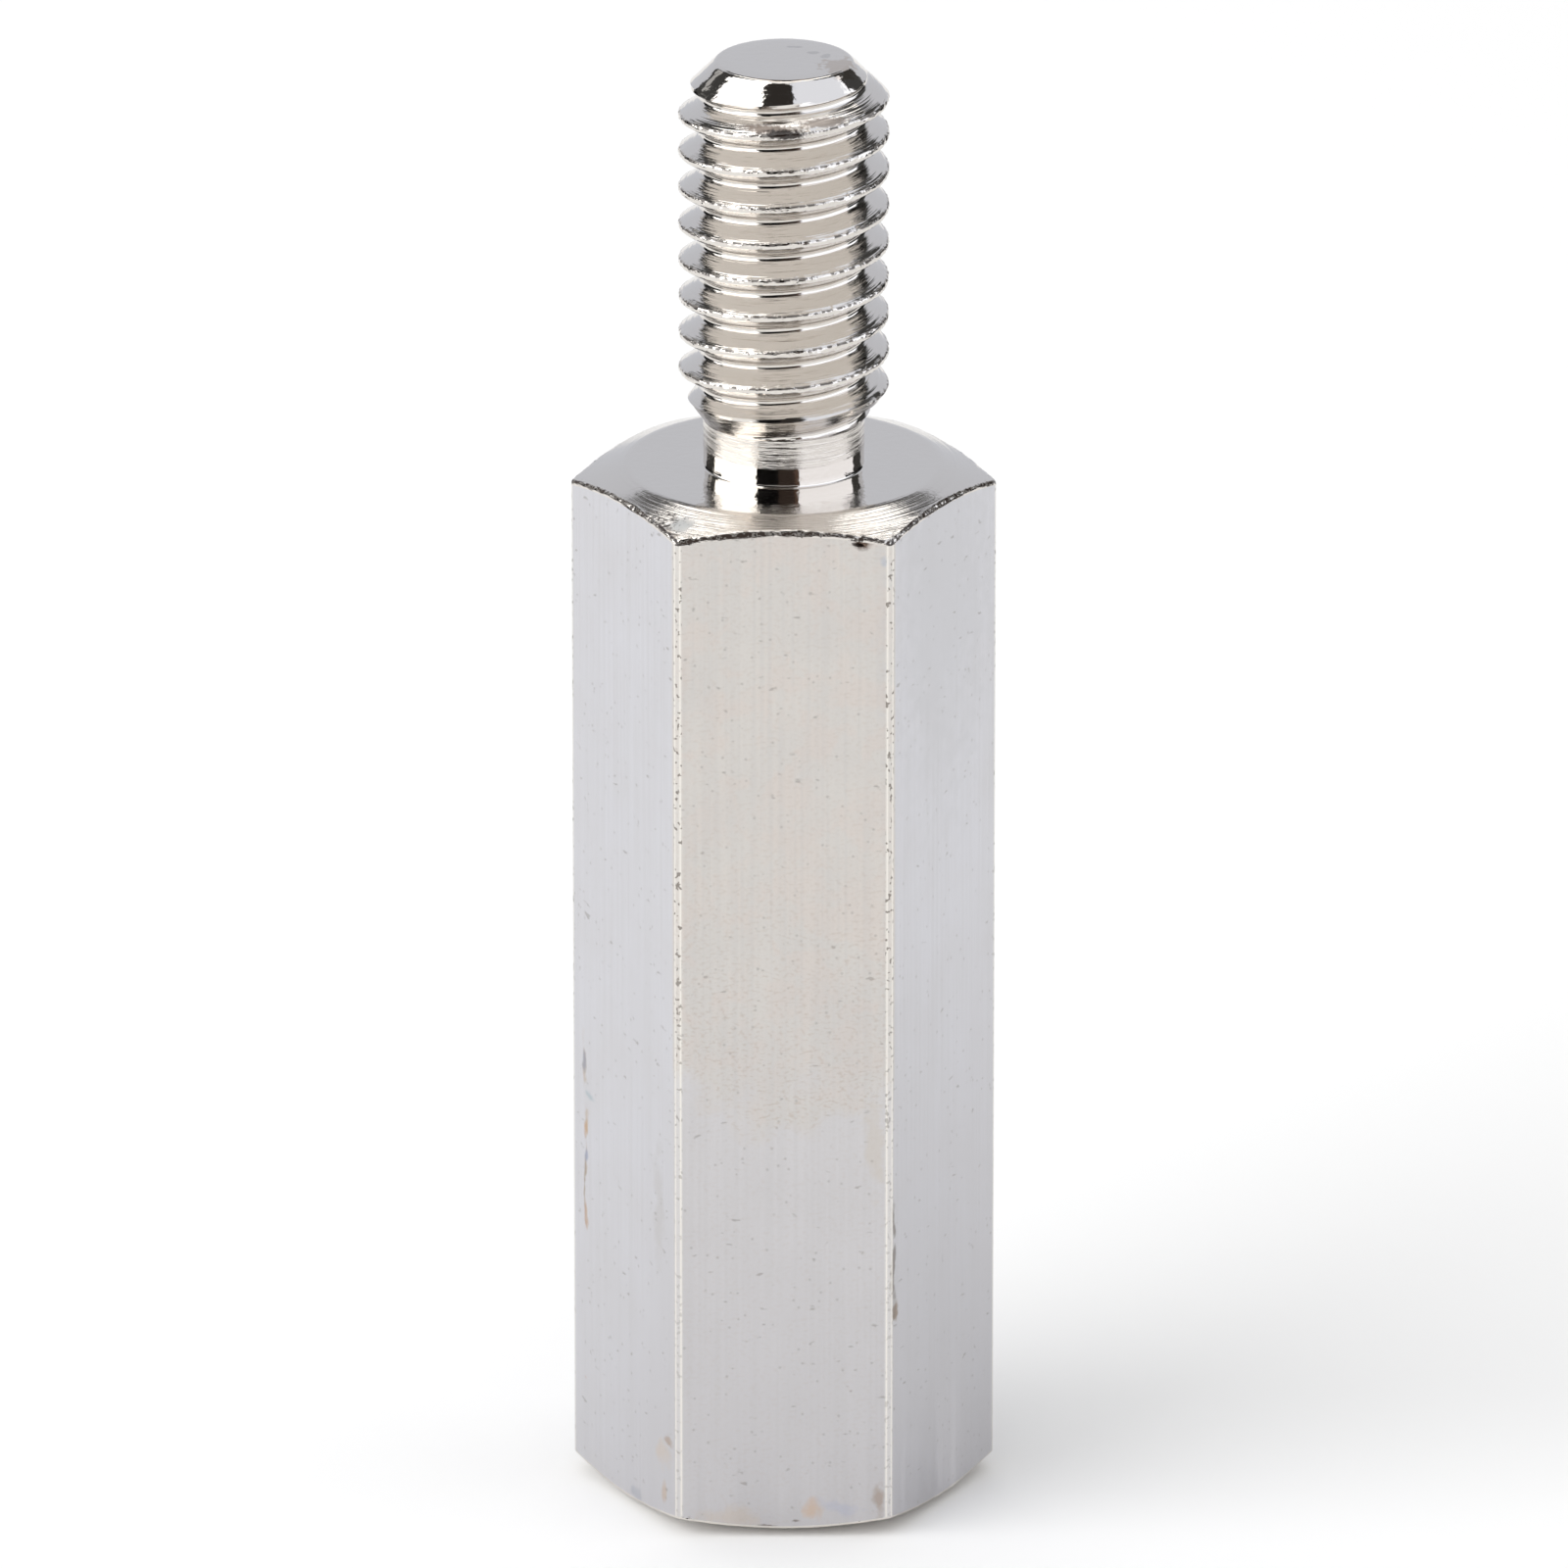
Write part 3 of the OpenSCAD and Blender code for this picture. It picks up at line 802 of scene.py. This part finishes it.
# %% Join the skin
standoff_mesh = bpy.data.meshes.new("nickel_hex_standoff")
standoff_mesh.from_pydata([Vector(p) * MM for p in points], [], faces)
standoff_mesh.polygons.foreach_set("material_index", finishes)
work = bmesh.new()
work.from_mesh(standoff_mesh)
for thread_mesh in (stud_mesh, hole_mesh):
    body_faces = len(work.faces)
    work.from_mesh(thread_mesh)
    work.faces.ensure_lookup_table()
    for face in work.faces[body_faces:]:
        face.material_index = CUT
bmesh.ops.remove_doubles(work, verts=work.verts, dist=0.0005 * MM)
bmesh.ops.recalc_face_normals(work, faces=work.faces)
lead_bottom = total_length - 0.72
for face in work.faces:
    face.smooth = True
    slopes_as_lead = abs(face.normal.z - math.sqrt(0.5)) < 0.05
    if slopes_as_lead and face.calc_center_median().z > lead_bottom * MM:
        face.material_index = TURNED
print("open edges:", sum(not edge.is_manifold for edge in work.edges),
      "triangles:", sum(len(face.verts) - 2 for face in work.faces),
      "volume, mm3:", round(work.calc_volume() / MM ** 3, 1))
work.to_mesh(standoff_mesh)
work.free()
standoff_mesh.set_sharp_from_angle(angle=math.radians(28))
for material in (drawn, turned, grooved, cut):
    standoff_mesh.materials.append(material)

# %% [markdown]
# The rubbed edges get their attribute here: the distance of each point from the nearest of the six edge lines
# says how worn it is, and a narrow peak on each side of an edge line paints a highlight line there. The torn
# lip gets one too, from the distance to the flats, for its dirt and painted dark line. It is highest on the
# front lip and at the nick, and a torn corner beside the knock has some of it.

# %% Edge wear with painted highlight lines, and the lip's dirt and painted dark line
place = np.array([vertex.co for vertex in standoff_mesh.vertices]) / MM
angle_from_edge = np.arctan2(place[:, 1], place[:, 0]) % (2 * half_side)
angle_from_edge = np.minimum(angle_from_edge, 2 * half_side - angle_from_edge)
from_edge = np.hypot(place[:, 0], place[:, 1]) * np.sin(angle_from_edge)
rub_highlight_line, rub_highlight_width = 0.06, 0.018
rub_and_highlight = 0.75 * np.exp(-((from_edge - rub_highlight_line) / rub_highlight_width) ** 2) + 0.25 * (from_edge < 0.07)
standoff_mesh.attributes.new("edge_wear", "FLOAT", "POINT").data.foreach_set("value", rub_and_highlight)
to_flat = half_flats - np.hypot(place[:, 0], place[:, 1]) * np.cos(half_side - angle_from_edge)
lip_width = 0.07
lip_wear = np.clip((lip_width - to_flat) / 0.02, 0, 1) * np.clip((to_flat - 0.001) / 0.004, 0, 1)
lip_wear *= np.where(place[:, 1] < -0.8 * half_flats, 1, 0.8)
torn_x, torn_y, torn_r = -2.2, -2.7, 0.42
from_torn = np.hypot(place[:, 0] - torn_x, place[:, 1] - torn_y)
torn_corner = 0.75 * np.exp(-(from_torn / torn_r) ** 2) * (to_flat > 0.004)
at_nick = np.exp(-((place[:, 0] - nick_x) / 0.2) ** 2) * (to_flat < lip_width)
at_nick *= place[:, 1] < -0.9 * half_flats
lip_wear = np.maximum.reduce([lip_wear, torn_corner, at_nick]) * (place[:, 2] > shoulder_z / 2)
standoff_mesh.attributes.new("lip_wear", "FLOAT", "POINT").data.foreach_set("value", lip_wear)

standoff = bpy.data.objects.new("nickel_hex_standoff", standoff_mesh)
bpy.context.scene.collection.objects.link(standoff)
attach(standoff, "root")
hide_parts("hex_standoff")
print("worn points:", int((rub_and_highlight > 0.5).sum()), "of", len(rub_and_highlight))

# %% [markdown]
# ## The stage
# The part stands on plain white paper that fades into the white background, so no horizon shows. A tiny
# mirror shows the whole studio, so the studio matters more than the paper: bright soft boxes left, right and
# above, and dark cards between them give the metal its contrast. The cards are seen only in reflections, so
# they don't darken the paper.

# %% Floor
floor_half = 1.5
floor_mesh = bpy.data.meshes.new("floor")
floor_mesh.from_pydata([(-floor_half, -floor_half, 0), (floor_half, -floor_half, 0),
                        (floor_half, floor_half, 0), (-floor_half, floor_half, 0)], [], [(0, 1, 2, 3)])
paper = bpy.data.materials.new("white_paper")
paper.use_nodes = True
paper_shader = paper.node_tree.nodes["Principled BSDF"]
paper_shader.inputs["Base Color"].default_value = linear("#f4f4f4")
paper_shader.inputs["Roughness"].default_value = 0.9
paper_shader.inputs["Specular IOR Level"].default_value = 0
spot = add(paper.node_tree, "ShaderNodeTexCoord", output="Object")
away = add(paper.node_tree, VECTOR, (spot,), output="Value", operation="LENGTH")
fade_from, fade_to = 0.1, 0.25
far = add(paper.node_tree, RANGE, (away, fade_from, fade_to, 0, 1))
white = add(paper.node_tree, "ShaderNodeEmission", {"Color": linear("#ffffff"), "Strength": 1})
sweep = add(paper.node_tree, "ShaderNodeMixShader", (far, paper_shader.outputs["BSDF"], white))
paper.node_tree.links.new(sweep, paper.node_tree.nodes["Material Output"].inputs["Surface"])
floor_mesh.materials.append(paper)
floor = bpy.data.objects.new("floor", floor_mesh)
bpy.context.scene.collection.objects.link(floor)
print("floor, m:", 2 * floor_half)

# %% [markdown]
# Each card is a piece of a sphere round the part, so its place is given by angles: the turn from the camera
# and the rise above the shoulder. Two low dark cards stand much closer than the rest, one on each side.

# %% Cards round the part
def card(name, turn_from, turn_to, rise_from, rise_to, strength, colour="#ffffff", distance=0.6):
    """Hangs a curved card between two turns from the camera and two rises above the shoulder, in degrees."""
    across, up = 17, 9
    turns = np.radians(np.linspace(turn_from, turn_to, across))
    rises = np.radians(np.linspace(rise_from, rise_to, up))
    spots = [(distance * math.sin(t) * math.cos(e), -distance * math.cos(t) * math.cos(e),
              distance * math.sin(e) + shoulder_z * MM) for e in rises for t in turns]
    starts = [k for k in range(across * (up - 1)) if k % across < across - 1]
    quads = [(k, k + 1, k + across + 1, k + across) for k in starts]
    mesh = bpy.data.meshes.new(name)
    mesh.from_pydata(spots, [], quads)
    cloth = bpy.data.materials.new(name)
    cloth.use_nodes = True
    cloth.node_tree.nodes.clear()
    glow = add(cloth.node_tree, "ShaderNodeEmission", {"Color": linear(colour), "Strength": strength})
    add(cloth.node_tree, "ShaderNodeOutputMaterial", {"Surface": glow})
    mesh.materials.append(cloth)
    panel = bpy.data.objects.new(name, mesh)
    bpy.context.scene.collection.objects.link(panel)
    panel.visible_camera = False
    panel.visible_diffuse = False
    panel.visible_shadow = False
    return panel


cards = [
    card("soft_box_left", -117, -40, 4, 40, 2.6),
    card("soft_box_left_high", -117, -52, 40, 78, 2.6),
    card("soft_box_right", 22, 118, 4, 40, 1.7, "#f2f6ff"),
    card("soft_box_right_high", 27, 118, 40, 78, 1.15, "#eff4ff"),
    card("dark_front_left", -40, -8, 4, 40, 0.005),
    card("dark_front", -8, 16, 4, 40, 0.045, "#ffe1d0"),
    card("dark_front_right", 16, 22, 4, 40, 0.12, "#ffd0b8"),
    card("dark_front_high", -52, 27, 40, 78, 0.035, "#fff4ec"),
    card("dark_left", -143, -117, 0, 66, 0.06),
    card("grey_left", -139, -132, 20, 31, 0.5, distance=0.58),
    card("dark_left_low", -143, -96, -6, 12, 0.01, distance=0.076),
    card("dark_right", 118, 143, 0, 66, 0.06),
    card("dark_right_low", 96, 143, -6, 12, 0.01, distance=0.076),
    card("backdrop", 143, 217, 0, 34, 0.755, "#f1f5ff"),
    card("backdrop_left", 205, 217, 34, 46, 0.755, "#f1f5ff"),
    card("backdrop_right", 143, 155, 34, 46, 0.755, "#f1f5ff"),
    card("dark_back", 155, 205, 34, 46, 0.1),
    card("soft_box_top", 143, 217, 75, 89, 1.9),
    card("soft_box_back_right", 143, 162, 46, 75, 2.2),
    card("soft_box_back_left", 198, 217, 46, 75, 2.2),
    card("grey_back_right", 162, 175, 46, 75, 0.75, "#fff2e6"),
    card("grey_back_left", 185, 198, 46, 75, 0.75, "#fff2e6"),
    card("dark_back_high", 175, 185, 46, 75, 0.08, "#ffe9dc"),
]
print("cards:", len(cards))

# %% [markdown]
# One large lamp from the left and an even white world light the paper, so the paper is white and keeps a
# soft shadow. The camera and the metal see the world as white.

# %% World and lamp
world = bpy.data.worlds.new("white_studio")
bpy.context.scene.world = world
world.use_nodes = True
sky = world.node_tree
ray = add(sky, "ShaderNodeLightPath").node.outputs
seen = add(sky, MATH, (ray["Is Camera Ray"], ray["Is Glossy Ray"]), operation="MAXIMUM")
seen = add(sky, MATH, (seen, ray["Is Transmission Ray"]), operation="MAXIMUM")
sky.links.new(add(sky, RANGE, (seen, 0, 1, 0.88, 1)), sky.nodes["Background"].inputs["Strength"])
sky.nodes["Background"].inputs["Color"].default_value = linear("#ffffff")

key = bpy.data.objects.new("key_left", bpy.data.lights.new("key_left", "AREA"))
key.data.size = 0.5
key.data.energy = 2.4
key.location = (-0.45, -0.25, 0.3)
key.rotation_euler = (aim - key.location).to_track_quat("-Z", "Y").to_euler()
key.visible_glossy = False
bpy.context.scene.collection.objects.link(key)
bpy.context.scene.view_settings.view_transform = "Standard"
print("lamp, W:", key.data.energy)
